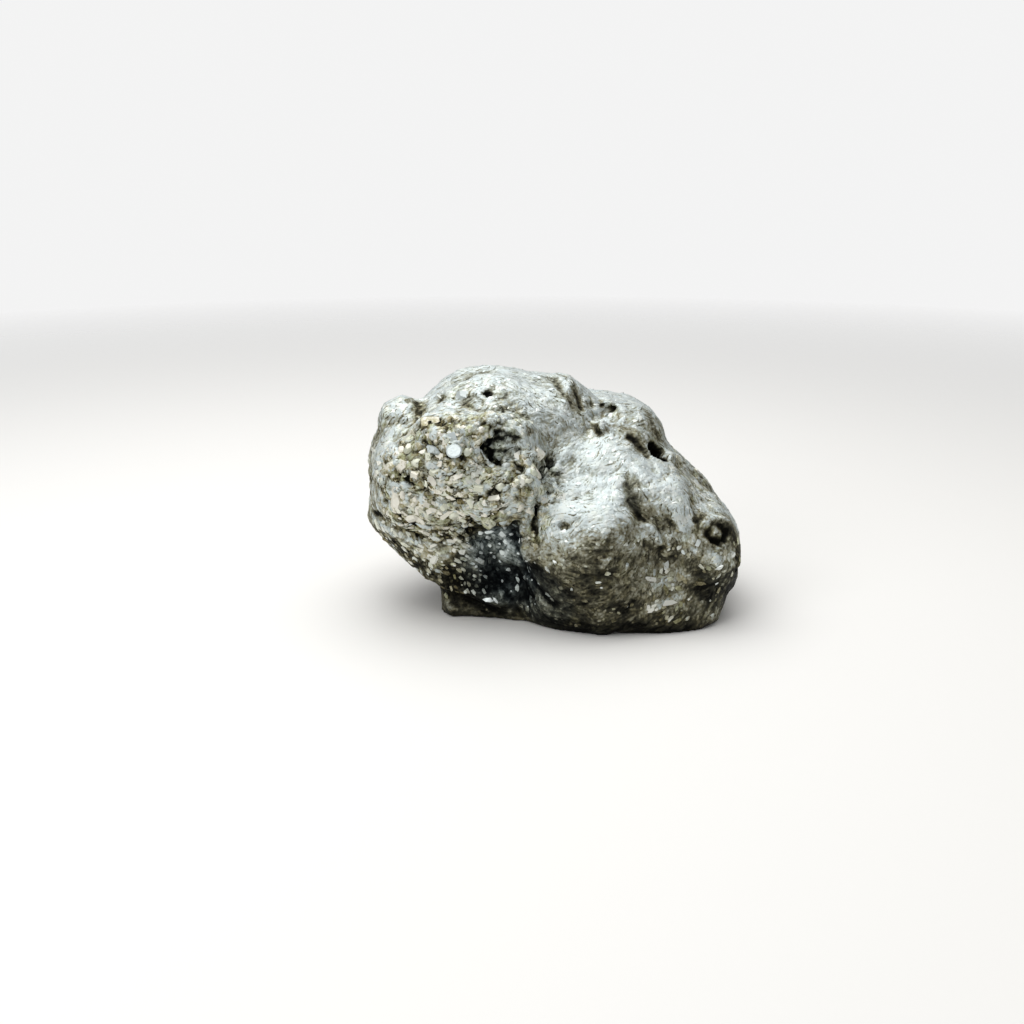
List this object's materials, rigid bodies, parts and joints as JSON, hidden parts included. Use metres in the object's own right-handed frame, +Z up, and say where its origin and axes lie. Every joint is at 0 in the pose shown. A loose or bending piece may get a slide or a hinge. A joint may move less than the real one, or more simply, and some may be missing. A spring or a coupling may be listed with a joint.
{
  "type": "pyrite cluster",
  "caption": "Rough lump of grown-together pyrite with coarse and fine crystals, rounded lobes, a cleft and pits, cut flat underneath so that it stands on a shelf.",
  "frame": {"origin": "middle of the bounding box, on the flat base that the lump stands on", "axes": "+Z up, +X along the lump towards its lower, smoother end, -Y out of its coarse crystal face"},
  "size_m": [0.1128, 0.0756, 0.0708],
  "materials": {
    "pyrite": "metallic lustre, fine-grained, tarnished in its hollows"
  },
  "bodies": {
    "root": {"pyrite_cluster": "pyrite"}
  },
  "joints": []
}
